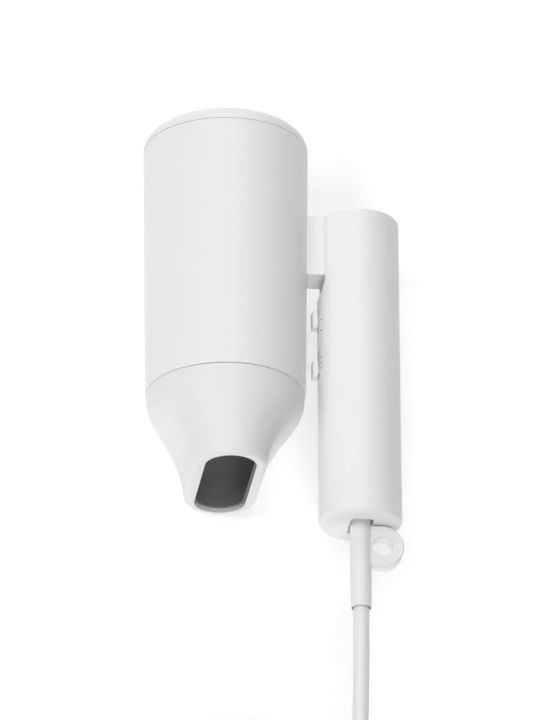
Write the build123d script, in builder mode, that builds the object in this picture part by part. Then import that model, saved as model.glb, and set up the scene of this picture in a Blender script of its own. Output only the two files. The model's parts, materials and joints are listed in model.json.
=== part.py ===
"""A compact hair dryer with a folding handle, lying on its side, in millimetres.

+X runs from the barrel to the folded handle, +Y to the air intake, +Z up. The dryer rests on z = 0,
and x = y = 0 is the middle of its footprint without the cord.
"""
from build123d import *
from math import cos, pi, radians, sin, sqrt, tan
import os

os.makedirs("parts", exist_ok=True)

# ---------------------------------------------------------------- driving dimensions
barrel_front_radius = 34.9
barrel_rear_radius = 36.3
barrel_length = 124.7  # front edge of the shell to the rear face
shell_wall = 2.2
rear_cap_height = 8.0
rear_cap_round = 7.6
intake_radius = 26.6

handle_radius = 18.0
handle_offset = 58.5  # barrel axis to handle axis
handle_top = 85.7  # y is measured from the front edge of the barrel shell
handle_bottom = -58.5
handle_wall = 2.2

neck_thickness = 15.6
neck_height = 28.4
neck_gap = 0.9  # neck to each cheek of the fork
fork_floor = 48.0  # lower end of the slot that the neck folds in
pin_radius = 2.5
pin_inset = 1.5  # the pin sits this far from the handle axis, towards the barrel

nozzle_length = 41.8
nozzle_radius = 34.4
lip_half_width = 15.7
lip_half_height = 33.9
mouth_half_width = 9.9
mouth_half_height = 29.2
liner_wall = 1.2
lip_round = 2.2

knob_length = 8.0
knob_width = 6.0
knob_stand = 2.7
knob_travel = 5.2
heat_knob_y = 37.9
speed_knob_y = 14.2

relief_length = 38.0
relief_radius = 4.6
loop_offset = 9.1
loop_drop = 10.0  # handle end to the middle of the loop
loop_radius = 9.4
loop_hole_radius = 4.4
loop_thickness = 7.3

cord_diameter = 7.0
coil_mean_radius = 35.0  # two turns side by side
coil_layers = 4
plug_half_width = 18.0
plug_half_height = 12.0
plug_length = 36.0
plug_relief_length = 26.0
plug_pin_radius = 2.4
plug_pin_length = 19.0
plug_pin_spacing = 19.0

running = 0.05  # radial clearance of a turning fit
sliding = 0.1  # radial clearance of a pushed fit
free = 0.4  # gap between moving pieces that never touch
seam_gap = 0.25  # shadow line where the nozzle and the rear cap meet the barrel

# ---------------------------------------------------------------- places in the part's frame
axis_z = barrel_rear_radius
left_edge = -barrel_rear_radius
right_edge = handle_offset + loop_offset + loop_radius
barrel_x = -(left_edge + right_edge) / 2
handle_x = barrel_x + handle_offset
relief_end = handle_bottom - relief_length
seam_y = -(barrel_length + relief_end) / 2
pin_y = handle_top - neck_height / 2
pin_from_barrel = handle_offset - pin_inset

barrel_bore = barrel_front_radius - shell_wall
handle_bore = handle_radius - handle_wall
slot_half = neck_thickness / 2 + neck_gap
neck_end_radius = neck_height / 2
fork_reach = neck_end_radius + neck_gap - pin_inset

barrel_profile = Plane(origin=(barrel_x, seam_y, axis_z))
barrel_axis = Axis((barrel_x, seam_y, axis_z), (0, 1, 0))
handle_profile = Plane(origin=(handle_x, seam_y, axis_z))
handle_axis = Axis((handle_x, seam_y, axis_z), (0, 1, 0))


def across(centre_x, y):
    """A plane across the barrel or the handle, facing the intake, with local y up."""
    return Plane(origin=(centre_x, seam_y + y, axis_z), x_dir=(-1, 0, 0), z_dir=(0, 1, 0))


def level(z, centre_x=handle_x):
    """A level plane above or below the axes, with local y along the barrel."""
    return Plane(origin=(centre_x, seam_y, axis_z + z))


def radial(turn, y):
    """A plane that faces outwards from the barrel axis, with local x along the barrel."""
    out = (cos(radians(turn)), 0, sin(radians(turn)))
    return Plane(origin=(barrel_x, seam_y + y, axis_z), x_dir=(0, 1, 0), z_dir=out)


def facing_barrel(depth, y):
    """A plane inside the handle that faces the barrel, with local x along the handle."""
    place = (handle_x - depth, seam_y + y, axis_z)
    return Plane(origin=place, x_dir=(0, 1, 0), z_dir=(-1, 0, 0))


def finish(piece, name):
    piece.part.label = name
    export_step(piece.part, f"parts/{name}.step")


# ---------------------------------------------------------------- barrel shell
shell_length = barrel_length - rear_cap_height
window_height = neck_height + 2 * sliding
window_width = neck_thickness + 2 * sliding
rim_round = 0.5

with BuildPart() as barrel_shell:
    with BuildSketch(barrel_profile):
        with BuildLine():
            Polyline(
                (barrel_bore, 0),
                (barrel_front_radius, 0),
                (barrel_rear_radius, shell_length),
                (barrel_bore, shell_length),
                close=True,
            )
        make_face()
    revolve(axis=barrel_axis)
    rim = barrel_shell.edges().filter_by(GeomType.CIRCLE).group_by(Axis.Y)[0].sort_by(SortBy.RADIUS)
    fillet(rim[-1], rim_round)
    with BuildSketch(level(0, barrel_x)):
        with Locations((barrel_rear_radius, pin_y)):
            Rectangle(barrel_rear_radius, window_height)
    extrude(amount=window_width / 2, both=True, mode=Mode.SUBTRACT)
finish(barrel_shell, "barrel_shell")

# ---------------------------------------------------------------- rear cap, grille and filter
spigot_length = 5.0
spigot_radius = barrel_bore - sliding
spigot_wall = 1.6
grille_thickness = 1.8
grille_recess = 2.4
filter_thickness = 0.6
grille_back = barrel_length - grille_recess
grille_radius = spigot_radius - spigot_wall

round_centre = (barrel_rear_radius - rear_cap_round, barrel_length - rear_cap_round)

with BuildPart() as rear_ring:
    with BuildSketch(barrel_profile):
        with BuildLine():
            Polyline(
                (barrel_rear_radius - rear_cap_round, barrel_length),
                (intake_radius, barrel_length),
                (intake_radius, grille_back),
                (grille_radius, grille_back),
                (grille_radius, shell_length - spigot_length),
                (spigot_radius, shell_length - spigot_length),
                (spigot_radius, shell_length + seam_gap),
                (barrel_rear_radius, shell_length + seam_gap),
                (barrel_rear_radius, barrel_length - rear_cap_round),
            )
            CenterArc(round_centre, rear_cap_round, 0, 90)
        make_face()
    revolve(axis=barrel_axis)
finish(rear_ring, "rear_ring")

hole_rings = 6
hole_pitch = 4.0
hole_radius = 1.25
with BuildPart() as intake_grille:
    with BuildSketch(across(barrel_x, grille_back - grille_thickness)):
        Circle(grille_radius - sliding)
        for ring in range(1, hole_rings + 1):
            with PolarLocations(ring * hole_pitch, 6 * ring):
                Circle(hole_radius, mode=Mode.SUBTRACT)
    extrude(amount=grille_thickness)
finish(intake_grille, "intake_grille")

frame_thickness = 0.6
frame_rim = 1.6
frame_bar = 1.2
filter_front = grille_back - grille_thickness - filter_thickness - frame_thickness
with BuildPart() as filter_mesh:
    with BuildSketch(across(barrel_x, filter_front)):
        Circle(grille_radius)
    extrude(amount=filter_thickness)
finish(filter_mesh, "filter_mesh")

with BuildPart() as filter_frame:
    with BuildSketch(across(barrel_x, filter_front + filter_thickness)):
        Circle(grille_radius)
        Circle(grille_radius - frame_rim, mode=Mode.SUBTRACT)
        for turn in (0, 60, 120):
            Rectangle(2 * grille_radius - frame_rim, frame_bar, rotation=turn)
    extrude(amount=frame_thickness)
finish(filter_frame, "filter_frame")

# ---------------------------------------------------------------- outlet collar, catch ring and grille
collar_stand = 6.0
collar_radius = 31.0
collar_bore = 29.4
collar_depth = 10.0
catch_y = -3.4
catch_wire = 0.6
catch_spring = 0.25  # the wire stands out of its groove by this much
groove_room = 0.15
collar_step = 1.0
catch_radius = collar_radius - catch_wire + catch_spring
groove_half = catch_wire + groove_room
groove_floor = catch_radius - catch_wire - groove_room

with BuildPart() as outlet_collar:
    with BuildSketch(barrel_profile):
        with BuildLine():
            Polyline(
                (collar_bore, -collar_stand),
                (collar_radius, -collar_stand),
                (collar_radius, catch_y - groove_half),
                (groove_floor, catch_y - groove_half),
                (groove_floor, catch_y + groove_half),
                (collar_radius, catch_y + groove_half),
                (collar_radius, collar_step),
                (barrel_bore, collar_step),
                (barrel_bore, collar_depth),
                (collar_bore, collar_depth),
                close=True,
            )
        make_face()
    revolve(axis=barrel_axis)
finish(outlet_collar, "outlet_collar")

with BuildPart() as catch_ring:
    with BuildSketch(barrel_profile):
        with Locations((catch_radius, catch_y)):
            Circle(catch_wire)
    revolve(axis=barrel_axis)
finish(catch_ring, "catch_ring")

bar = 1.2
grille_front = 3.0
grille_depth = 3.0
ring_radii = (collar_bore, 22.0, 14.6, 7.2)
with BuildPart() as outlet_grille:
    with BuildSketch(across(barrel_x, grille_front)):
        for ring_radius in ring_radii:
            Circle(ring_radius)
            Circle(ring_radius - bar, mode=Mode.SUBTRACT)
        for turn in range(0, 180, 45):
            Rectangle(2 * collar_bore - bar, bar, rotation=turn)
    extrude(amount=grille_depth)
finish(outlet_grille, "outlet_grille")

# ---------------------------------------------------------------- nozzle
# Each station: share of the length from the seam, half width, half height, wall at the sides and at the ends.
lip_wall = lip_half_width - mouth_half_width - liner_wall
lip_end_wall = lip_half_height - mouth_half_height - liner_wall
round_stations = (
    (0.0, nozzle_radius - 0.1, nozzle_radius, 0, 0),
    (0.05, nozzle_radius - 0.15, nozzle_radius, 0, 0),
)
flat_stations = (
    (0.15, 33.8, 34.35, 2.3, 2.3),
    (0.29, 30.6, 34.3, 2.0, 2.0),
    (0.435, 25.4, 34.2, 2.0, 2.1),
    (0.58, 21.1, 34.1, 2.2, 2.4),
    (0.725, 18.1, 34.0, 3.4, 2.8),
    (0.87, 16.4, 33.9, 4.0, 3.2),
    (1.0, lip_half_width, lip_half_height, lip_wall, lip_end_wall),
)
liner_stations = flat_stations[1:]
liner_recess = 2.1
sleeve_radius = catch_radius + catch_wire + sliding
sleeve_length = flat_stations[0][0] * nozzle_length


def nozzle_sections(stations, walls=0, extra=0):
    """Slot-shaped sections across the nozzle, drawn in from its outside by so many walls and an extra."""
    sections = []
    for share, half_width, half_height, wall, end_wall in stations:
        side, end = walls * wall + extra, walls * end_wall + extra
        station_y = -seam_gap - share * (nozzle_length - seam_gap)
        with BuildSketch(across(barrel_x, station_y)) as section:
            SlotOverall(2 * (half_height - end), 2 * (half_width - side), rotation=90)
        sections.append(section.sketch)
    return sections


with BuildPart() as nozzle_shell:
    loft(nozzle_sections(round_stations + flat_stations))
    fillet(nozzle_shell.faces().sort_by(Axis.Y)[0].edges(), lip_round)
    loft(nozzle_sections(flat_stations, walls=1), ruled=True, mode=Mode.SUBTRACT)
    with BuildSketch(across(barrel_x, -sleeve_length)):
        Circle(sleeve_radius)
    extrude(amount=sleeve_length, mode=Mode.SUBTRACT)
finish(nozzle_shell, "nozzle_shell")

with BuildPart() as nozzle_liner:
    loft(nozzle_sections(liner_stations, walls=1), ruled=True)
    loft(nozzle_sections(liner_stations, walls=1, extra=liner_wall), ruled=True, mode=Mode.SUBTRACT)
    with BuildSketch(across(barrel_x, -nozzle_length)):
        Rectangle(2 * lip_half_width, 2 * lip_half_height)
    extrude(amount=liner_recess, mode=Mode.SUBTRACT)
finish(nozzle_liner, "nozzle_liner")

# ---------------------------------------------------------------- fan, motor and heater
duct_radius = barrel_bore
duct_bore = duct_radius - 1.6
duct_front = 62.0
duct_back = 102.0
hub_outer = 16.8
hub_wall = 1.4
hub_back = 84.0
vane_count = 7
vane_thickness = 1.2
vane_turn = 12.0
vane_sink = 0.6  # how far a vane's ends run into the hub and the duct
vane_length = hub_back - duct_front - 6.0
flange_outer = barrel_bore - 1.9
flange_thickness = 2.0
flange_height = neck_height + 6
flange_width = neck_thickness + 4

with BuildSketch(level(-flange_width / 2 - free, barrel_x)) as flange_room:
    with Locations((barrel_bore, pin_y)):
        Rectangle(2 * (barrel_bore - flange_outer + flange_thickness + free), flange_height + 2 * free)

with BuildPart() as fan_duct:
    with BuildSketch(across(barrel_x, duct_front)):
        Circle(duct_radius)
        Circle(duct_bore, mode=Mode.SUBTRACT)
    extrude(amount=duct_back - duct_front)
    with BuildSketch(across(barrel_x, duct_front)):
        Circle(hub_outer)
        Circle(hub_outer - hub_wall, mode=Mode.SUBTRACT)
    extrude(amount=hub_back - duct_front)
    for vane in range(vane_count):
        turn = (vane + 0.5) * 360 / vane_count
        with BuildSketch(radial(turn, (duct_front + hub_back) / 2).offset(hub_outer - vane_sink)):
            Rectangle(vane_length, vane_thickness, rotation=vane_turn)
        extrude(amount=duct_bore - hub_outer + 2 * vane_sink)
    extrude(flange_room.sketch, amount=flange_width + 2 * free, mode=Mode.SUBTRACT)
finish(fan_duct, "fan_duct")

sleeve_wall = 1.4
can_radius = hub_outer - hub_wall - sleeve_wall
can_wall = 1.2
can_front = 60.0
can_length = 26.0
can_back = can_front + can_length
shaft_radius = 1.25
bush_radius = 3.0
bush_length = 3.5
bush_stand = 1.0
magnet_thickness = 3.0
magnet_gap = 8.0
slot_count = 5
rotor_slot = 0.9
rotor_radius = can_radius - can_wall - magnet_thickness - free

with BuildPart() as motor_sleeve:
    with BuildSketch(across(barrel_x, duct_front + 1)):
        Circle(can_radius + sleeve_wall)
        Circle(can_radius, mode=Mode.SUBTRACT)
    extrude(amount=hub_back - duct_front - 2)
finish(motor_sleeve, "motor_sleeve")

with BuildPart() as motor_can:
    with BuildSketch(across(barrel_x, can_front)):
        Circle(can_radius)
        Circle(bush_radius, mode=Mode.SUBTRACT)
    extrude(amount=can_wall)
    with BuildSketch(across(barrel_x, can_front + can_wall)):
        Circle(can_radius)
        Circle(can_radius - can_wall, mode=Mode.SUBTRACT)
    extrude(amount=can_length - 2 * can_wall)
finish(motor_can, "motor_can")

with BuildPart() as motor_end_plate:
    with BuildSketch(across(barrel_x, can_back - can_wall)):
        Circle(can_radius)
        Circle(bush_radius, mode=Mode.SUBTRACT)
    extrude(amount=can_wall)
finish(motor_end_plate, "motor_end_plate")

with BuildPart() as motor_bushes:
    for start in (can_front - bush_stand, can_back - bush_length + bush_stand):
        with BuildSketch(across(barrel_x, start)):
            Circle(bush_radius)
            Circle(shaft_radius + running, mode=Mode.SUBTRACT)
        extrude(amount=bush_length)
finish(motor_bushes, "motor_bushes")

magnet_length = can_length - 2 * can_wall - 2 * bush_length
magnet_front = can_front + can_wall + bush_length
magnet_radius = can_radius - can_wall
with BuildPart() as motor_magnets:
    with BuildSketch(across(barrel_x, magnet_front)):
        Circle(magnet_radius)
        Circle(magnet_radius - magnet_thickness, mode=Mode.SUBTRACT)
        Rectangle(magnet_gap, 2 * magnet_radius, mode=Mode.SUBTRACT)
    extrude(amount=magnet_length)
finish(motor_magnets, "motor_magnets")

impeller_front = can_back + 2.0
impeller_length = 12.0
impeller_radius = duct_bore - free
impeller_hub = 12.0
hub_round = 3.0
blade_count = 9
blade_thickness = 1.3
blade_turn = 38.0
blade_root = 1.0
shaft_front = can_front - 1.5
shaft_back = impeller_front + impeller_length

with BuildPart() as motor_shaft:
    with BuildSketch(across(barrel_x, shaft_front)):
        Circle(shaft_radius)
    extrude(amount=shaft_back - shaft_front)
finish(motor_shaft, "motor_shaft")

with BuildPart() as motor_rotor:
    with BuildSketch(across(barrel_x, magnet_front)):
        Circle(rotor_radius)
        with PolarLocations(rotor_radius - 1.5 * rotor_slot, slot_count):
            Circle(rotor_slot, mode=Mode.SUBTRACT)
        Circle(shaft_radius, mode=Mode.SUBTRACT)
    extrude(amount=magnet_length)
finish(motor_rotor, "motor_rotor")

with BuildPart() as fan_impeller:
    with BuildSketch(across(barrel_x, impeller_front)):
        Circle(impeller_hub)
    extrude(amount=impeller_length)
    fillet(fan_impeller.faces().sort_by(Axis.Y)[-1].edges(), hub_round)
    for blade in range(blade_count):
        middle = impeller_front + impeller_length / 2
        with BuildSketch(radial(blade * 360 / blade_count, middle).offset(impeller_hub - blade_root)):
            Rectangle(impeller_length - 1, blade_thickness, rotation=blade_turn)
        extrude(amount=impeller_radius - 0.8 - impeller_hub + blade_root)
    with BuildSketch(across(barrel_x, impeller_front)):
        Circle(shaft_radius)
    extrude(amount=impeller_length, mode=Mode.SUBTRACT)
finish(fan_impeller, "fan_impeller")

board_front = 12.0
board_length = pin_y - flange_height / 2 - board_front - 1.0
board_half = 22.5
board_thickness = 0.8
coil_wire = 1.1
coil_radius = board_half + coil_wire + 0.3
coil_count = 7
shield_radius = barrel_bore - 1.6
shield_wall = 0.5
tab_length = 1.6
tab_reach = shield_radius - shield_wall - 0.2

with BuildPart() as heater_boards:
    with BuildSketch(across(barrel_x, board_front)):
        Rectangle(2 * board_half, board_thickness)
        Rectangle(board_thickness, 2 * board_half)
    extrude(amount=board_length)
    for start in (board_front, board_front + board_length - tab_length):
        with BuildSketch(across(barrel_x, start)):
            Rectangle(2 * tab_reach, board_thickness)
            Rectangle(board_thickness, 2 * tab_reach)
        extrude(amount=tab_length)
finish(heater_boards, "heater_boards")

with BuildPart() as heater_coils:
    with BuildSketch(barrel_profile):
        for coil in range(coil_count):
            with Locations((coil_radius, board_front + (coil + 0.5) * board_length / coil_count)):
                Circle(coil_wire)
    revolve(axis=barrel_axis)
finish(heater_coils, "heater_coils")

with BuildPart() as heat_shield:
    with BuildSketch(across(barrel_x, collar_depth)):
        Circle(shield_radius)
        Circle(shield_radius - shield_wall, mode=Mode.SUBTRACT)
    extrude(amount=duct_front - collar_depth)
    extrude(flange_room.sketch, amount=flange_width + 2 * free, mode=Mode.SUBTRACT)
finish(heat_shield, "heat_shield")

cutout_y = board_front + 8.0  # where the thermostat and the fuse start
cutout_side = 8.0
thermostat_width = 9.0
thermostat_height = 4.0
thermostat_length = 12.0
fuse_radius = 1.8
fuse_length = 11.0

with BuildPart() as thermostat:
    with BuildSketch(across(barrel_x, cutout_y)):
        with Locations((cutout_side, (board_thickness + thermostat_height) / 2)):
            Rectangle(thermostat_width, thermostat_height)
    extrude(amount=thermostat_length)
finish(thermostat, "thermostat")

with BuildPart() as thermal_fuse:
    with BuildSketch(across(barrel_x, cutout_y)):
        with Locations((-cutout_side, board_thickness / 2 + fuse_radius)):
            Circle(fuse_radius)
    extrude(amount=fuse_length)
finish(thermal_fuse, "thermal_fuse")

# ---------------------------------------------------------------- neck and hinge
wire_way = 3.2
wire_way_depth = 12.0
neck_round = 0.6
screw_head = 2.4
screw_head_height = 1.4
screw_spacing = 20.0

with BuildPart() as hinge_neck:
    with BuildSketch(level(-neck_thickness / 2)):
        with BuildLine():
            Polyline(
                (-pin_inset, pin_y - neck_end_radius),
                (flange_outer - handle_offset, pin_y - neck_end_radius),
                (flange_outer - handle_offset, pin_y + neck_end_radius),
                (-pin_inset, pin_y + neck_end_radius),
            )
            CenterArc((-pin_inset, pin_y), neck_end_radius, -90, 180)
        make_face()
        with Locations((-pin_inset, pin_y)):
            Circle(pin_radius + running, mode=Mode.SUBTRACT)
    extrude(amount=neck_thickness)
    fillet(hinge_neck.edges().filter_by(Axis.X), neck_round)
    flange = Plane(
        origin=(barrel_x + flange_outer, seam_y + pin_y, axis_z), x_dir=(0, 1, 0), z_dir=(-1, 0, 0)
    )
    with BuildSketch(flange):
        Rectangle(flange_height, flange_width)
    extrude(amount=flange_thickness)
    with BuildSketch(flange.offset(flange_thickness)):
        Circle(wire_way)
    extrude(amount=-(flange_thickness + wire_way_depth), mode=Mode.SUBTRACT)
finish(hinge_neck, "hinge_neck")

with BuildPart() as neck_screws:
    for along in (-screw_spacing / 2, screw_spacing / 2):
        place = (barrel_x + flange_outer - flange_thickness, seam_y + pin_y + along, axis_z)
        with BuildSketch(Plane(origin=place, x_dir=(0, 1, 0), z_dir=(-1, 0, 0))):
            Circle(screw_head)
        extrude(amount=screw_head_height)
finish(neck_screws, "neck_screws")

pin_half = handle_bore - 1.0
with BuildPart() as hinge_pin:
    with BuildSketch(level(-pin_half)):
        with Locations((-pin_inset, pin_y)):
            Circle(pin_radius)
    extrude(amount=2 * pin_half)
finish(hinge_pin, "hinge_pin")

washer_radius = 6.0
with BuildPart() as hinge_washers:
    for bottom in (neck_thickness / 2 + running, -slot_half):
        with BuildSketch(level(bottom)):
            with Locations((-pin_inset, pin_y)):
                Circle(washer_radius)
                Circle(pin_radius, mode=Mode.SUBTRACT)
        extrude(amount=neck_gap - running)
finish(hinge_washers, "hinge_washers")

# ---------------------------------------------------------------- handle shell, fork and end cap
floor_thickness = 3.0
cap_thickness = 2.0
fork_bottom = fork_floor - 2.5
end_round = 2.6
top_round = 0.9
hole_side = relief_radius + free
hole_reach = 8.4  # the hole is longer across the fold, so that the relief can bend
hole_round = 2.0
slot_top = handle_top + 5.0

stem_length = 4.0
slot_width = 3.2
stem_width = slot_width - 2 * sliding
slot_corner = 0.4
pocket_depth = 1.0
pocket_corner = 1.8

clamp_y = handle_bottom + 13.0
clamp_spacing = 15.0
clamp_thickness = 3.0
screw_radius = 1.6
screw_depth = 4.0
post_radius = 2.8
post_foot = sqrt(handle_radius**2 - (clamp_spacing / 2 + post_radius) ** 2) - 0.4


def folding_room(reach):
    """The outline, seen from the barrel, of the round-ended slot that the neck swings in."""
    with BuildSketch(facing_barrel(-reach, 0)) as room:
        with Locations((fork_floor + slot_half, 0)):
            Circle(slot_half)
        with Locations(((fork_floor + slot_half + slot_top) / 2, 0)):
            Rectangle(slot_top - fork_floor - slot_half, 2 * slot_half)
    return room.sketch


with BuildPart() as handle_shell:
    with BuildSketch(across(handle_x, handle_bottom)):
        Circle(handle_radius)
    extrude(amount=handle_top - handle_bottom)
    fillet(handle_shell.faces().sort_by(Axis.Y)[0].edges(), end_round)
    fillet(handle_shell.faces().sort_by(Axis.Y)[-1].edges(), top_round)
    with BuildSketch(across(handle_x, handle_bottom + floor_thickness)):
        Circle(handle_bore)
    extrude(amount=handle_top - handle_bottom, mode=Mode.SUBTRACT)
    with BuildSketch(across(handle_x, handle_bottom)):
        RectangleRounded(2 * hole_side, 2 * hole_reach, hole_round)
    extrude(amount=floor_thickness, mode=Mode.SUBTRACT)
    extrude(folding_room(fork_reach), amount=fork_reach + 2 * handle_radius, mode=Mode.SUBTRACT)
    for knob_y, toward in ((heat_knob_y, -1), (speed_knob_y, 1)):
        with BuildSketch(facing_barrel(handle_bore - 2, knob_y + toward * knob_travel / 2)):
            RectangleRounded(knob_travel + stem_length + 2 * free, slot_width, slot_corner)
        extrude(amount=handle_wall + 4, mode=Mode.SUBTRACT)
    with BuildSketch(facing_barrel(handle_radius - pocket_depth, speed_knob_y + knob_travel / 2)):
        RectangleRounded(knob_travel + knob_length + 2 * free, knob_width + 2 * free, pocket_corner)
    extrude(amount=2 * pocket_depth, mode=Mode.SUBTRACT)
    with BuildSketch(level(-post_foot)):
        with Locations((0, clamp_y)):
            with GridLocations(clamp_spacing, 1, 2, 1):
                Circle(post_radius)
    extrude(amount=post_foot + cord_diameter / 2)
    with BuildSketch(level(cord_diameter / 2 - screw_depth)):
        with Locations((0, clamp_y)):
            with GridLocations(clamp_spacing, 1, 2, 1):
                Circle(screw_radius)
    extrude(amount=screw_depth, mode=Mode.SUBTRACT)
finish(handle_shell, "handle_shell")

with BuildPart() as hinge_fork:
    with BuildSketch(across(handle_x, fork_bottom)):
        Circle(handle_bore)
    extrude(amount=handle_top - cap_thickness - fork_bottom)
    extrude(folding_room(handle_radius), amount=3 * handle_radius, mode=Mode.SUBTRACT)
    with BuildSketch(level(-pin_half)):
        with Locations((-pin_inset, pin_y)):
            Circle(pin_radius)
    extrude(amount=2 * pin_half, mode=Mode.SUBTRACT)
finish(hinge_fork, "hinge_fork")

with BuildPart() as handle_end_cap:
    with BuildSketch(across(handle_x, handle_top - cap_thickness)):
        Circle(handle_bore)
    extrude(amount=cap_thickness)
    extrude(folding_room(handle_radius), amount=3 * handle_radius, mode=Mode.SUBTRACT)
finish(handle_end_cap, "handle_end_cap")

# ---------------------------------------------------------------- switches and knobs
knob_skirt_face = handle_bore - 1.0
skirt_thickness = 1.0
skirt_width = 8.4
skirt_corner = 1.0
knob_corner = 1.4
knob_edge = 0.7
board_face = 9.0
switch_height = knob_skirt_face - skirt_thickness - free - board_face
pcb_thickness = 1.6
pcb_bottom = -24.0
pcb_top = 42.0
switch_length = 16.0
switch_width = 9.0
diode_radius = 2.6
diode_length = 9.0

for name, knob_y, below, above in (
    ("heat_knob", heat_knob_y, 7.6, 5.0),
    ("speed_knob", speed_knob_y, 6.0, 4.4),
):
    with BuildPart() as knob:
        with BuildSketch(facing_barrel(knob_skirt_face - skirt_thickness, knob_y + (above - below) / 2)):
            RectangleRounded(below + above, skirt_width, skirt_corner)
        extrude(amount=skirt_thickness)
        with BuildSketch(facing_barrel(knob_skirt_face, knob_y)):
            Rectangle(stem_length, stem_width)
        extrude(amount=handle_radius + free - knob_skirt_face)
        with BuildSketch(facing_barrel(handle_radius + free, knob_y)):
            RectangleRounded(knob_length, knob_width, knob_corner)
        extrude(amount=knob_stand - free)
        fillet(knob.faces().sort_by(Axis.X)[0].edges(), knob_edge)
    finish(knob, name)

with BuildPart() as circuit_board:
    with BuildSketch(facing_barrel(board_face - pcb_thickness, (pcb_bottom + pcb_top) / 2)):
        Rectangle(pcb_top - pcb_bottom, 2 * sqrt(handle_bore**2 - board_face**2))
    extrude(amount=pcb_thickness)
finish(circuit_board, "circuit_board")

for name, knob_y, toward in (("heat_switch", heat_knob_y, -1), ("speed_switch", speed_knob_y, 1)):
    with BuildPart() as switch:
        with BuildSketch(facing_barrel(board_face, knob_y + toward * knob_travel / 2)):
            RectangleRounded(switch_length, switch_width, 0.5)
        extrude(amount=switch_height)
    finish(switch, name)

with BuildPart() as diode:
    with BuildSketch(across(handle_x, pcb_bottom + 8)):
        with Locations((board_face + diode_radius, 0)):
            Circle(diode_radius)
    extrude(amount=diode_length)
finish(diode, "diode")

# ---------------------------------------------------------------- strain relief with hanging loop
relief_flange = 2.5
flange_stand = 3.0
relief_tip_radius = 4.5
tip_round = 0.4
relief_bore = cord_diameter / 2
tip_bore = relief_bore + 0.55
tip_depth = 3.0
loop_edge = 0.8
loop_y = handle_bottom - loop_drop

with BuildPart() as strain_relief:
    with BuildSketch(handle_profile):
        with BuildLine():
            Polyline(
                (relief_bore, handle_bottom + floor_thickness + relief_flange),
                (relief_radius + flange_stand, handle_bottom + floor_thickness + relief_flange),
                (relief_radius + flange_stand, handle_bottom + floor_thickness),
                (relief_radius, handle_bottom + floor_thickness),
                (relief_radius, loop_y - loop_radius),
                (relief_tip_radius, relief_end + tip_round),
                (relief_tip_radius - tip_round, relief_end),
                (tip_bore, relief_end),
                (tip_bore, relief_end + tip_depth),
                (relief_bore, relief_end + tip_depth + 1),
                close=True,
            )
        make_face()
    revolve(axis=handle_axis)
    with BuildSketch(level(-loop_thickness / 2)):
        with Locations((loop_offset, loop_y)):
            Circle(loop_radius)
        with Locations((loop_offset / 2, loop_y + loop_radius / 4)):
            Rectangle(loop_offset, loop_radius * 1.5)
        with Locations((loop_offset, loop_y)):
            Circle(loop_hole_radius, mode=Mode.SUBTRACT)
        with Locations((0, loop_y)):
            Rectangle(2 * relief_bore + 1, 3 * loop_radius, mode=Mode.SUBTRACT)
    extrude(amount=loop_thickness)
    outer_edges = strain_relief.edges().filter_by(GeomType.CIRCLE)
    outer_edges = outer_edges.filter_by(lambda edge: abs(edge.radius - loop_radius) < 0.01)
    fillet(outer_edges, loop_edge)
finish(strain_relief, "strain_relief")

inner_lead_top = handle_bottom + 24.0
clamp_width = 7.0
clamp_head = 2.8
clamp_head_height = 1.8
with BuildPart() as inner_lead:
    with BuildSketch(across(handle_x, relief_end + tip_depth + 1)):
        Circle(cord_diameter / 2)
    extrude(amount=inner_lead_top - relief_end - tip_depth - 1)
finish(inner_lead, "inner_lead")

with BuildPart() as cord_clamp:
    with BuildSketch(level(cord_diameter / 2)):
        with Locations((0, clamp_y)):
            RectangleRounded(clamp_spacing + clamp_width, clamp_width, 1.5)
            with GridLocations(clamp_spacing, 1, 2, 1):
                Circle(screw_radius, mode=Mode.SUBTRACT)
    extrude(amount=clamp_thickness)
finish(cord_clamp, "cord_clamp")

with BuildPart() as clamp_screws:
    with BuildSketch(level(cord_diameter / 2 + clamp_thickness)):
        with Locations((0, clamp_y)):
            with GridLocations(clamp_spacing, 1, 2, 1):
                Circle(clamp_head)
    extrude(amount=clamp_head_height)
    with BuildSketch(level(cord_diameter / 2 - screw_depth)):
        with Locations((0, clamp_y)):
            with GridLocations(clamp_spacing, 1, 2, 1):
                Circle(screw_radius)
    extrude(amount=screw_depth + clamp_thickness)
finish(clamp_screws, "clamp_screws")

# ---------------------------------------------------------------- cord, coil and plug
cord_radius = cord_diameter / 2
coil_height = coil_layers * cord_diameter
coil_round = 2.5
coil_outer = coil_mean_radius + cord_diameter
coil_inner = coil_mean_radius - cord_diameter
entry_z = coil_height - cord_radius
leave_z = entry_z - cord_diameter
lead_reach = 93.0
coil_x = handle_x - coil_mean_radius - cord_radius
coil_y = seam_y + relief_end - lead_reach - 8.0
plug_z = plug_half_height
tail_start = -8.0
tail_end = -50.0

# points along the cord: y from the end of the strain relief, or from the middle of the coil, then z
lead_points = [
    (tip_depth + 1, axis_z),
    (-21.0, axis_z - 0.4),
    (-46.0, 31.6),
    (-71.0, 26.2),
    (-lead_reach, entry_z),
]
tail_points = [(tail_start, leave_z), (-22.0, leave_z - 0.3), (-38.0, 13.7), (tail_end, plug_z)]


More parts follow.
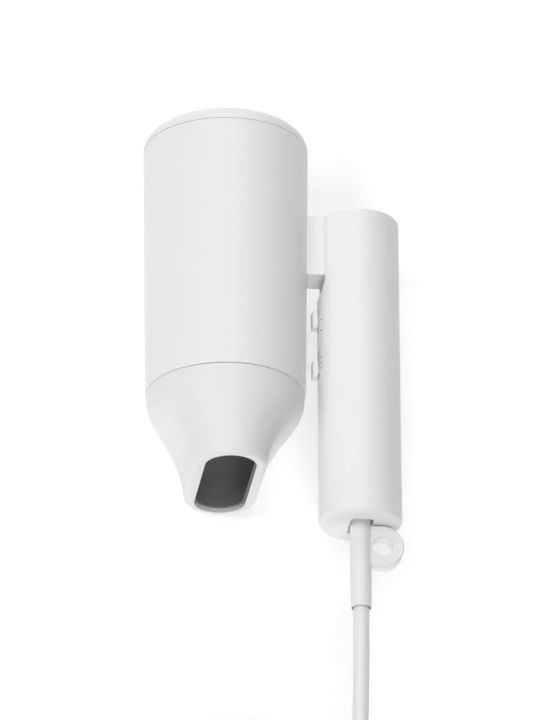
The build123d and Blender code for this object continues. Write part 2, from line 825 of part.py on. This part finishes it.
def cord_tube(name, start_y, points):
    """A tube of straight runs joined by arcs as large as the runs allow."""
    route = [Vector(handle_x, start_y + y, z) for y, z in points]
    runs = [b - a for a, b in zip(route, route[1:])]
    turns = [a.get_angle(b) for a, b in zip(runs, runs[1:])]
    radii = [
        0.45 * min(a.length, b.length) / tan(radians(turn / 2)) for a, b, turn in zip(runs, runs[1:], turns)
    ]
    with BuildPart() as tube:
        with BuildLine():
            path = FilletPolyline(*route, radius=radii)
        with BuildSketch(Plane(origin=path @ 0, z_dir=path % 0)):
            Circle(cord_radius)
        sweep()
    finish(tube, name)
    section = pi * cord_radius**2
    print(name, "radii", [round(r) for r in radii], "volume over section times length",
          round(tube.part.volume / (section * path.length), 4))
    return path.length


lead_length = cord_tube("cord_lead", seam_y + relief_end, lead_points)
tail_length = cord_tube("cord_tail", coil_y, tail_points)
print("lead and tail lengths", round(lead_length), round(tail_length))

with BuildPart() as cord_coil:
    with BuildSketch(Plane(origin=(coil_x, coil_y, 0))):
        Circle(coil_outer)
        Circle(coil_inner, mode=Mode.SUBTRACT)
    extrude(amount=coil_height)
    fillet(cord_coil.edges().filter_by(GeomType.CIRCLE), coil_round)
finish(cord_coil, "cord_coil")

plug_start = coil_y + tail_end
plug_relief_radius = 5.0
plug_neck_radius = 6.6
plug_corner = 8.0
plug_edge = 1.2
pin_tip_round = 1.6
# share of the length from the relief, and shares of the full width and height
plug_stations = ((0, 0.62, 0.8), (0.3, 0.8, 0.92), (0.62, 1, 1), (1, 1, 1))


def plug_plane(beyond):
    """A plane across the plug, facing its pins, so far beyond the end of the cord."""
    return Plane(origin=(handle_x, plug_start - beyond, plug_z), x_dir=(1, 0, 0), z_dir=(0, -1, 0))


with BuildPart() as plug_relief:
    with BuildSketch(plug_plane(0)):
        Circle(plug_relief_radius)
    with BuildSketch(plug_plane(plug_relief_length)):
        Circle(plug_neck_radius)
    loft()
finish(plug_relief, "plug_relief")

with BuildPart() as plug_body:
    for share, width, height in plug_stations:
        with BuildSketch(plug_plane(plug_relief_length + share * plug_length)):
            RectangleRounded(2 * plug_half_width * width, 2 * plug_half_height * height, plug_corner)
    loft(ruled=True)
    fillet(plug_body.faces().sort_by(Axis.Y)[0].edges(), plug_edge)
finish(plug_body, "plug_body")

with BuildPart() as plug_pins:
    with BuildSketch(plug_plane(plug_relief_length + plug_length)):
        with GridLocations(plug_pin_spacing, 1, 2, 1):
            Circle(plug_pin_radius)
    extrude(amount=plug_pin_length)
    fillet(plug_pins.faces().filter_by(Axis.Y).group_by(Axis.Y)[0].edges(), pin_tip_round)
finish(plug_pins, "plug_pins")
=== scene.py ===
"""A compact hair dryer with a folding handle on a pale floor: camera, lead, small pieces and materials."""
import json
import math

import bpy
from mathutils import Matrix, Vector


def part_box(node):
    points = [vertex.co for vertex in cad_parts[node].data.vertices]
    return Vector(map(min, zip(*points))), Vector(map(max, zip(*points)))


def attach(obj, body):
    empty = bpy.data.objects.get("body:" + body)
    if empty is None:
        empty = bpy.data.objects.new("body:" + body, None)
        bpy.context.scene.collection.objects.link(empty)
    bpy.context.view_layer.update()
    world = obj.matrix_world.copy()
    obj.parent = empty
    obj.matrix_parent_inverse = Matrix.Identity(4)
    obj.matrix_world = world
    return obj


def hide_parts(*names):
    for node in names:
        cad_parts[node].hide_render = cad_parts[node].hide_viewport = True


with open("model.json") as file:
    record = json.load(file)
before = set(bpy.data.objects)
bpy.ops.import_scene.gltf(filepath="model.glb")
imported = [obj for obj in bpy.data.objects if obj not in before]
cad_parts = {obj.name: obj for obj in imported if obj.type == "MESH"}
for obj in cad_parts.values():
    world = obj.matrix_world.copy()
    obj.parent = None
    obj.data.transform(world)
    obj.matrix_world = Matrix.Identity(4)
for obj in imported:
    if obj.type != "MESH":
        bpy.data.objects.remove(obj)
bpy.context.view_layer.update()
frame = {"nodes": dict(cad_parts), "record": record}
nodes = frame["nodes"]
MM = 0.001


def middle(node):
    low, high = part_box(node)
    return (low + high) / 2


# ---------------------------------------------------------------- places read from the frame
barrel_x, axis_z = middle("barrel_shell").x, middle("barrel_shell").z
handle_x = middle("handle_shell").x
seam_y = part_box("barrel_shell")[0].y
handle_radius = (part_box("handle_shell")[1].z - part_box("handle_shell")[0].z) / 2
relief_end_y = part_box("strain_relief")[0].y
plug_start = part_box("plug_relief")[1].y
plug_z = middle("plug_relief").z
coil_low, coil_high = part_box("cord_coil")
coil_centre = (coil_low + coil_high) / 2

# ---------------------------------------------------------------- camera
CAMERA_DISTANCE = 2.5
CAMERA_DROP = math.radians(25.69)  # how far it leans from straight above towards the nozzle
CAMERA_SIDE = math.radians(-7.5)  # how far it is turned towards the barrel
CAMERA_ROLL = math.radians(-0.16)
LOOK_RIGHT, LOOK_BACK = 20 * MM, 40 * MM  # where it looks, from the barrel's axis and the nozzle's seam
AIM_DOWN, AIM_LEFT = 19.57 * MM, 0.46 * MM  # from there, so that the dryer sits high in the view
FRAME_HEIGHT_PX = 720
FOCAL_PX = 5737.3
SENSOR_MM = 36.0

lean, side = CAMERA_DROP, CAMERA_SIDE
towards = Vector((math.sin(side) * math.cos(lean), -math.sin(lean), math.cos(side) * math.cos(lean)))
right = Vector((math.cos(side), 0, -math.sin(side)))
upward = Vector((math.sin(side) * math.sin(lean), math.cos(lean), math.cos(side) * math.sin(lean)))
looked_at = Vector((barrel_x + LOOK_RIGHT, seam_y + LOOK_BACK, axis_z))
aim = looked_at - upward * AIM_DOWN - right * AIM_LEFT

camera = bpy.data.objects.new("camera", bpy.data.cameras.new("camera"))
bpy.context.scene.collection.objects.link(camera)
camera.location = looked_at + towards * CAMERA_DISTANCE
view_axis = (camera.location - aim).normalized()
across_axis = upward.cross(view_axis).normalized()
turned = Matrix((across_axis, view_axis.cross(across_axis), view_axis)).transposed()
camera.rotation_euler = (turned @ Matrix.Rotation(CAMERA_ROLL, 3, "Z")).to_euler()
camera.data.sensor_width = SENSOR_MM
camera.data.lens = FOCAL_PX / FRAME_HEIGHT_PX * SENSOR_MM
camera.data.clip_start, camera.data.clip_end = 0.05, 50
bpy.context.scene.camera = camera
bpy.context.scene.view_settings.view_transform = "Standard"

# ---------------------------------------------------------------- lead
CORD_DIAMETER = 7.0 * MM
POINTS_PER_TURN = 16
SHIFT_WINDOW = math.radians(110)
FIRST_SHIFT = math.radians(300)
SHIFT_STEP = math.radians(40)

coil_x = handle_x - (coil_high.x - coil_low.x) / 2 + CORD_DIAMETER / 2
inner_turn = (coil_high.x - coil_low.x) / 2 - 1.5 * CORD_DIAMETER
layer_z = [coil_high.z - CORD_DIAMETER * (layer + 0.5) for layer in range(4)]
# places of the turns in the wound bundle, in winding order: down the inside, back up the outside
turn_places = [(1, 0), (0, 0), (0, 1), (0, 2), (0, 3), (1, 3), (1, 2), (1, 1)]


def eased(t):
    t = min(1.0, max(0.0, t))
    return t * t * (3 - 2 * t)


def wound_point(turned_by):
    """The lead's middle after turning so far round the coil, from where it comes in."""
    column, layer = turn_places[0]
    for k in range(len(turn_places) - 1):
        start = 2 * math.pi * k + FIRST_SHIFT - SHIFT_STEP * k - SHIFT_WINDOW / 2
        share = eased((turned_by - start) / SHIFT_WINDOW)
        column += share * (turn_places[k + 1][0] - turn_places[k][0])
        layer += share * (turn_places[k + 1][1] - turn_places[k][1])
    radius = (inner_turn + column * CORD_DIAMETER) / math.cos(math.pi / POINTS_PER_TURN) ** 0.5
    z = layer_z[0] - layer * CORD_DIAMETER
    return (coil_x + radius * math.cos(turned_by), coil_centre.y - radius * math.sin(turned_by), z)


# the lead's way down to the coil: how far past the relief's end, and how high
way_down = ((21, axis_z - 0.4 * MM), (46, 31.6 * MM), (71, 26.2 * MM), (93, layer_z[0]))
START_INSIDE = 4 * MM  # the lead starts inside its relief
lead_points = [(handle_x, relief_end_y + START_INSIDE, axis_z)]
lead_points += [(handle_x, relief_end_y - past * MM, height) for past, height in way_down]
turns = len(turn_places) - 1
coil_points = [
    wound_point(2 * math.pi * step / POINTS_PER_TURN) for step in range(turns * POINTS_PER_TURN + 1)
]
END_INSIDE = 4 * MM  # it ends inside the plug's relief
# off the coil's near side and down to the plug
tail_points = [
    (handle_x, coil_centre.y - 22 * MM, layer_z[1] - 0.3 * MM),
    (handle_x, coil_centre.y - 38 * MM, 13.7 * MM),
    (handle_x, plug_start, plug_z),
    (handle_x, plug_start - END_INSIDE, plug_z),
]
route = lead_points + coil_points + tail_points

cord_curve = bpy.data.curves.new("cord", "CURVE")
cord_curve.dimensions = "3D"
cord_curve.bevel_depth = 1.0  # times each point's own radius
cord_curve.bevel_resolution = 6
cord_curve.resolution_u = 6
cord_curve.use_fill_caps = True
spline = cord_curve.splines.new("NURBS")
spline.points.add(len(route) - 1)
for point, place in zip(spline.points, route):
    point.co = (*place, 1)
    point.radius = CORD_DIAMETER / 2
spline.order_u = 3
spline.use_endpoint_u = True
cord = bpy.data.objects.new("cord", cord_curve)
bpy.context.scene.collection.objects.link(cord)
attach(cord, "handle")
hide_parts("cord_lead", "cord_coil", "cord_tail")


# ---------------------------------------------------------------- position marks
MARK_WIDE, MARK_LONG = 1.7 * MM, 0.5 * MM  # round the handle and along it
MARK_PROUD, MARK_DEPTH = 0.05 * MM, 0.08 * MM  # above the shell, and from there down into it
MARK_TURN = math.radians(17)  # how far up the round side from the middle of the knobs the marks sit
MARK_STEPS = 12
KNOB_TRAVEL = 5.2 * MM
heat_y, speed_y = middle("heat_knob").y, middle("speed_knob").y
mark_places = {
    "mark_heat_low": heat_y - KNOB_TRAVEL,
    "mark_heat_high": heat_y,
    "mark_speed_off": speed_y,
    "mark_speed_low": speed_y + KNOB_TRAVEL / 2,
    "mark_speed_high": speed_y + KNOB_TRAVEL,
}
mark_reach = handle_radius + MARK_PROUD
mark_arc = MARK_WIDE / handle_radius
mark_start = math.pi - MARK_TURN + mark_arc / 2
edge_x = handle_x + mark_reach * math.cos(mark_start)
edge_z = axis_z + mark_reach * math.sin(mark_start)
marks = []
for name, mark_y in mark_places.items():
    bpy.ops.object.select_all(action="DESELECT")
    bpy.ops.mesh.primitive_plane_add(size=MARK_LONG, location=(edge_x - MARK_LONG / 2, mark_y, edge_z))
    mark = bpy.context.object
    mark.name = name
    bpy.ops.object.transform_apply(location=True, rotation=True, scale=True)
    # one edge of the plane is kept and spun round the handle's axis, and the strip is turned to face outwards
    bpy.ops.object.mode_set(mode="EDIT")
    bpy.ops.mesh.select_all(action="DESELECT")
    bpy.ops.object.mode_set(mode="OBJECT")
    for vertex in mark.data.vertices:
        vertex.select = vertex.co.x < edge_x - MARK_LONG / 2
    bpy.ops.object.mode_set(mode="EDIT")
    bpy.ops.mesh.delete(type="VERT")
    bpy.ops.mesh.select_all(action="SELECT")
    bpy.ops.mesh.spin(steps=MARK_STEPS, angle=-mark_arc, center=(handle_x, mark_y, axis_z), axis=(0, 1, 0))
    bpy.ops.mesh.select_all(action="SELECT")
    bpy.ops.mesh.flip_normals()
    bpy.ops.object.mode_set(mode="OBJECT")
    ink_film = mark.modifiers.new("ink", "SOLIDIFY")
    ink_film.thickness, ink_film.offset = MARK_DEPTH, -1
    bpy.ops.object.modifier_apply(modifier="ink")
    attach(mark, "handle")
    marks.append(mark)


# ---------------------------------------------------------------- painted shade: a black sleeve where the lead leaves the relief
# a thin black sleeve filling the gap between the lead and the relief's bore: painted shade for the dark line
# that this gap shows
RING_WALL, RING_LONG, RING_INSET = 0.27 * MM, 2.0 * MM, 0.25 * MM
bpy.ops.object.select_all(action="DESELECT")
bpy.ops.mesh.primitive_circle_add(
    vertices=64, radius=CORD_DIAMETER / 2, rotation=(math.pi / 2, 0, 0),
    location=(handle_x, relief_end_y + RING_INSET, axis_z),
)
gap_shade_sleeve = bpy.context.object
gap_shade_sleeve.name = "relief_gap_shade_sleeve"
bpy.ops.object.transform_apply(location=True, rotation=True, scale=True)
bpy.ops.object.mode_set(mode="EDIT")
bpy.ops.mesh.select_all(action="SELECT")
bpy.ops.mesh.extrude_region_move(TRANSFORM_OT_translate={"value": (0, RING_LONG, 0)})
bpy.ops.mesh.select_all(action="SELECT")
bpy.ops.mesh.normals_make_consistent(inside=False)
bpy.ops.object.mode_set(mode="OBJECT")
ring_wall = gap_shade_sleeve.modifiers.new("wall", "SOLIDIFY")
ring_wall.thickness, ring_wall.offset = RING_WALL, 1
bpy.ops.object.modifier_apply(modifier="wall")
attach(gap_shade_sleeve, "handle")


# ---------------------------------------------------------------- materials
def linear(hex_colour):
    """An sRGB hex colour as linear red, green, blue and alpha."""
    values = [int(hex_colour[i : i + 2], 16) / 255 for i in (1, 3, 5)]
    return [v / 12.92 if v <= 0.04045 else ((v + 0.055) / 1.055) ** 2.4 for v in values] + [1.0]


def node(tree, kind, inputs=(), links=(), **settings):
    """Adds a shader node with its settings, its input values, and links into it from other sockets."""
    made = tree.nodes.new(kind)
    for name, value in settings.items():
        setattr(made, name, value)
    for name, value in dict(inputs).items():
        made.inputs[name].default_value = value
    for name, socket in dict(links).items():
        tree.links.new(socket, made.inputs[name])
    return made


def material(name):
    """A new material, its node tree and its surface shader."""
    made = bpy.data.materials.new(name)
    made.use_nodes = True
    return made, made.node_tree, made.node_tree.nodes["Principled BSDF"]


CLOUD_SIZE = 22 * MM
LINE_STRETCH = 0.05  # a metal's lines are twenty times as long as they are wide
LINE_DEPTH = 0.02 * MM


def moulded(name, dark, light, roughness, grain_mm, grain_height_mm, ior=1.5, sheen=0.0):
    """Moulded plastic: a faint cloud between two near colours, and the fine grain of a spark-eroded mould."""
    made, tree, shader = material(name)
    place = node(tree, "ShaderNodeTexCoord").outputs["Object"]
    cloud = node(tree, "ShaderNodeTexNoise", {"Scale": 1 / CLOUD_SIZE, "Detail": 3.0}, {"Vector": place})
    tint = node(tree, "ShaderNodeMix", links={"Factor": cloud.outputs["Fac"]}, data_type="RGBA")
    tint.inputs["A"].default_value, tint.inputs["B"].default_value = linear(dark), linear(light)
    grain = node(tree, "ShaderNodeTexNoise", {"Scale": 1 / (grain_mm * MM), "Detail": 2.0}, {"Vector": place})
    rough = node(
        tree, "ShaderNodeMapRange", {"To Min": roughness - 0.05, "To Max": roughness + 0.05},
        {"Value": grain.outputs["Fac"]},
    )
    bump = node(
        tree, "ShaderNodeBump", {"Strength": 1.0, "Distance": grain_height_mm * MM},
        {"Height": grain.outputs["Fac"]},
    )
    tree.links.new(tint.outputs["Result"], shader.inputs["Base Color"])
    tree.links.new(rough.outputs["Result"], shader.inputs["Roughness"])
    tree.links.new(bump.outputs["Normal"], shader.inputs["Normal"])
    shader.inputs["IOR"].default_value = ior
    shader.inputs["Sheen Weight"].default_value = sheen
    return made


def metal(name, colour, roughness, line_mm):
    """Drawn, turned or pressed metal: fine lines along Y, the way that most of these pieces were worked."""
    made, tree, shader = material(name)
    place = node(tree, "ShaderNodeTexCoord").outputs["Object"]
    spread = node(tree, "ShaderNodeMapping", {"Scale": (1, LINE_STRETCH, 1)}, {"Vector": place})
    lines = node(
        tree, "ShaderNodeTexNoise", {"Scale": 1 / (line_mm * MM), "Detail": 4.0},
        {"Vector": spread.outputs["Vector"]},
    )
    rough = node(
        tree, "ShaderNodeMapRange", {"To Min": roughness - 0.08, "To Max": roughness + 0.08},
        {"Value": lines.outputs["Fac"]},
    )
    bump = node(
        tree, "ShaderNodeBump", {"Strength": 0.4, "Distance": LINE_DEPTH}, {"Height": lines.outputs["Fac"]}
    )
    tree.links.new(rough.outputs["Result"], shader.inputs["Roughness"])
    tree.links.new(bump.outputs["Normal"], shader.inputs["Normal"])
    shader.inputs["Base Color"].default_value = linear(colour)
    shader.inputs["Metallic"].default_value = 1.0
    return made


finishes = {
    # white ABS from a finely eroded mould: a soft satin with broad, weak highlights
    "white_shell": moulded("abs_satin_moulded", "#F1F1F1", "#F5F5F5", 0.42, 0.35, 0.010),
    # heat-resistant nylon, a shade cooler and a little more matt
    "white_nozzle": moulded("nylon_satin_moulded", "#ECECEC", "#F1F1F1", 0.46, 0.35, 0.012),
    # the shell's ABS from a finer mould, so the knobs shine a little more
    "white_knob": moulded("abs_fine_moulded", "#EFEFEF", "#F2F2F2", 0.38, 0.25, 0.006),
    # dark heat-resistant plastic of the mouth's lining, nearly without gloss
    "grey_liner": moulded("polyamide_dark_moulded", "#7F8081", "#88898A", 0.62, 0.4, 0.02),
    # the grilles: plain ABS, a shade greyer between their holes
    "white_grille": moulded("abs_grille_moulded", "#EBEBEB", "#EFEFEF", 0.45, 0.35, 0.01),
    # glass-filled nylon of the fan and frames: near black with a dry grain
    "black_plastic": moulded("nylon_glass_filled", "#1B1B1C", "#232324", 0.55, 0.3, 0.02),
    # soft PVC of the relief, lead and plug: denser, with a trace of velvet on the two that bend
    "white_relief": moulded("pvc_soft_moulded", "#EFEFEF", "#F3F3F3", 0.45, 0.4, 0.01, 1.53, 0.05),
    "white_cord": moulded("pvc_sheath_extruded", "#ECECEC", "#F0F0F0", 0.40, 0.6, 0.01, 1.53, 0.05),
    "white_plug": moulded("pvc_plug_moulded", "#ECECEC", "#F0F0F0", 0.42, 0.3, 0.01, 1.53),
    # silicone that holds the motor: black and dull
    "rubber_sleeve": moulded("silicone_black_moulded", "#161616", "#1C1C1C", 0.7, 0.3, 0.02),
    # pressed mica: tan flakes
    "mica": moulded("mica_pressed_sheet", "#A8926A", "#C9B68C", 0.5, 1.2, 0.03),
    # glass epoxy under a green lacquer, smoother than the mouldings
    "board_green": moulded("glass_epoxy_laminate", "#1F5B3A", "#276C45", 0.35, 0.5, 0.01),
    # sintered ferrite: dark grey, matt
    "ferrite": moulded("ferrite_sintered", "#2A2A2C", "#333335", 0.6, 0.2, 0.02),
    # worked metals: their lines show only as a drawn-out shine
    "steel": metal("steel_turned", "#B9BBBE", 0.32, 0.4),
    "bronze": metal("bronze_sintered", "#B08D57", 0.45, 0.3),
    "heating_wire": metal("nichrome_drawn", "#8C857D", 0.40, 0.2),
    "thermal_parts": metal("aluminium_pressed", "#C9CBCD", 0.35, 0.5),
    "filter_steel": metal("steel_woven", "#8F9296", 0.35, 0.3),
    "plug_metal": metal("brass_nickel_plated", "#C9C7C1", 0.22, 0.3),
}
for part in frame["record"]["subparts"]:
    mesh = nodes[part["node"]].data
    mesh.materials.clear()
    mesh.materials.append(finishes[part["material_slot"]])
cord_curve.materials.append(finishes["white_cord"])
# painted shade: black and dull, so that the gap round the lead at the relief's end reads dark
gap_shade_sleeve.data.materials.append(moulded("gap_shade_black_painted", "#121212", "#171717", 0.75, 0.3, 0.01))
# pad-printed ink: a thin grey film, almost flat
grey_ink = moulded("pad_printed_ink_grey", "#9A9C9F", "#A3A5A8", 0.5, 0.3, 0.004)
for mark in marks:
    mark.data.materials.append(grey_ink)

# ---------------------------------------------------------------- floor and light
FLOOR_SIDE = 8
PAPER_GLOW, WORLD_GLOW = 0.27, 0.03
bpy.ops.object.select_all(action="DESELECT")
bpy.ops.mesh.primitive_plane_add(size=FLOOR_SIDE, location=(0, 0, 0))
floor = bpy.context.object
floor.name = "floor"
paper, paper_tree, paper_shader = material("paper_matt_white")
paper_shader.inputs["Base Color"].default_value = linear("#FAFAFA")
paper_shader.inputs["Roughness"].default_value = 0.9
paper_shader.inputs["Emission Color"].default_value = (1, 1, 1, 1)
paper_shader.inputs["Emission Strength"].default_value = PAPER_GLOW
floor.data.materials.append(paper)

world = bpy.data.worlds.new("studio")
bpy.context.scene.world = world
world.use_nodes = True
world.node_tree.nodes["Background"].inputs["Color"].default_value = (1, 1, 1, 1)
world.node_tree.nodes["Background"].inputs["Strength"].default_value = WORLD_GLOW

# each softbox: where it hangs, its side and its watts
softboxes = {
    "light_left": ((-1.1, 0.0, 1.4), 0.9, 9.8),
    "light_above": ((-0.1, 0.0, 1.8), 1.2, 8.5),
    "light_front": ((0.0, -1.5, 1.0), 0.9, 12.0),
    "light_rear_low": ((0.0, 1.7, 0.6), 0.9, 5.0),
    "light_rear": ((0.0, 1.3, 1.3), 0.9, 7.0),
    "light_rear_right": ((1.0, 1.0, 1.0), 0.9, 1.0),
}
for name, (place, size, watts) in softboxes.items():
    lamp = bpy.data.objects.new(name, bpy.data.lights.new(name, "AREA"))
    bpy.context.scene.collection.objects.link(lamp)
    lamp.data.size = size
    lamp.data.energy = watts
    lamp.location = place
    lamp.rotation_euler = (Vector((0, 0, axis_z)) - Vector(place)).to_track_quat("-Z", "Y").to_euler()
